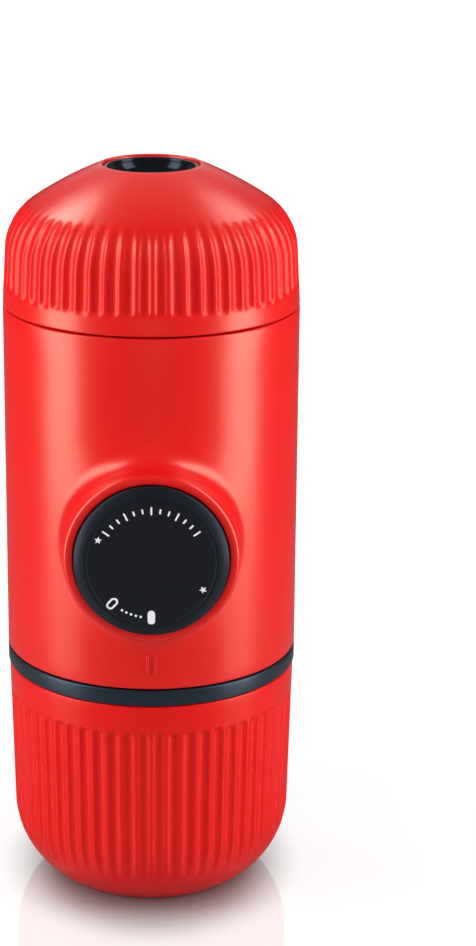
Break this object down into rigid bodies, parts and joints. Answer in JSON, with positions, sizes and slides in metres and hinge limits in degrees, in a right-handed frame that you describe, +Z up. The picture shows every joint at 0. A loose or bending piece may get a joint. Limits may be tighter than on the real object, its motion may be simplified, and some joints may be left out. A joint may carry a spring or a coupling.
{
  "type": "manual espresso maker",
  "caption": "Handheld manual espresso maker standing on its cup: fluted head with a spout, smooth body with a piston pump and lockable push knob, nested water tank.",
  "frame": {"origin": "centre of the cup's flat base, on the long axis", "axes": "+Z up the long axis towards the spout; the pump knob faces -Y; +X is to the right seen from the knob's side"},
  "size_m": [0.062, 0.071, 0.1566],
  "materials": {
    "red_plastic": "satin red moulded plastic",
    "black_plastic": "near-black moulded plastic",
    "gloss_black": "glossy black plastic",
    "slate_plastic": "slate-grey plastic",
    "steel": "stainless steel",
    "seal": "black silicone",
    "clear_seal": "translucent silicone"
  },
  "bodies": {
    "main_body": {"body_shell": "red_plastic", "base_frame": "black_plastic", "frame_screws": "steel", "inlet_strainer": "black_plastic", "air_valve": "clear_seal", "port_seals": "seal", "pump_housing": "black_plastic", "barrel_cap": "black_plastic", "inlet_seat": "seal", "outlet_seat": "seal", "brew_chamber": "black_plastic", "shower_screen": "steel", "filter_basket": "steel", "scoop": "black_plastic", "return_spring": "steel"},
    "plunger": {"piston": "black_plastic", "piston_seal": "seal", "piston_rod": "black_plastic", "knob_screw": "steel", "spring_washer": "steel"},
    "knob_body": {"knob": "gloss_black", "knob_face": "black_plastic"},
    "inlet_poppet": {"inlet_valve": "clear_seal"},
    "outlet_poppet": {"outlet_valve": "clear_seal"},
    "head_seal": {"head_gasket": "seal"},
    "head_screen": {"outlet_screen": "steel"},
    "head": {"head_shell": "red_plastic", "portafilter_core": "black_plastic", "spout_bowl": "gloss_black", "spout_spider": "gloss_black"},
    "tank_seal": {"tank_gasket": "seal"},
    "tank_collar": {"collar_ring": "slate_plastic"},
    "tank": {"water_tank": "black_plastic"},
    "drinking_cup": {"cup": "red_plastic"}
  },
  "joints": [
    {"name": "piston_slide", "type": "slide", "parent": "main_body", "child": "plunger", "axis": [0, -1, 0], "range_m": [0, 0.02], "deforming": ["return_spring"]},
    {"name": "knob_lock", "type": "hinge", "parent": "plunger", "child": "knob_body", "pos_m": [0, -0.036, 0.08349], "axis": [0, -1, 0], "range_deg": [0, 45]},
    {"name": "inlet_valve_lift", "type": "slide", "parent": "main_body", "child": "inlet_poppet", "axis": [0, 0, 1], "range_m": [0, 0.0008], "stiffness_N_per_m": 60},
    {"name": "outlet_valve_lift", "type": "slide", "parent": "main_body", "child": "outlet_poppet", "axis": [0, 0, 1], "range_m": [0, 0.0008], "stiffness_N_per_m": 60},
    {"name": "head_lift", "type": "slide", "parent": "main_body", "child": "head_seal", "axis": [0, 0, 1], "range_m": [0, 0.034]},
    {"name": "head_rise", "type": "slide", "parent": "head_seal", "child": "head_screen", "axis": [0, 0, 1], "range_m": [0, 0.006]},
    {"name": "head_unscrew", "type": "hinge", "parent": "head_screen", "child": "head", "pos_m": [0, 0, 0.13], "axis": [0, 0, 1], "range_deg": [0, 90]},
    {"name": "tank_drop", "type": "slide", "parent": "main_body", "child": "tank_seal", "axis": [0, 0, -1], "range_m": [0, 0.03]},
    {"name": "tank_rise", "type": "slide", "parent": "tank_seal", "child": "tank_collar", "axis": [0, 0, -1], "range_m": [0, 0.006]},
    {"name": "tank_unscrew", "type": "hinge", "parent": "tank_collar", "child": "tank", "pos_m": [0, 0, 0.05], "axis": [0, 0, -1], "range_deg": [0, 90]},
    {"name": "cup_pull", "type": "slide", "parent": "tank", "child": "drinking_cup", "axis": [0, 0, -1], "range_m": [0, 0.05]}
  ],
  "couplings": [
    {"joint": "head_rise", "follows": "head_unscrew", "m_per_rad": 0.0038},
    {"joint": "tank_rise", "follows": "tank_unscrew", "m_per_rad": 0.0038}
  ]
}
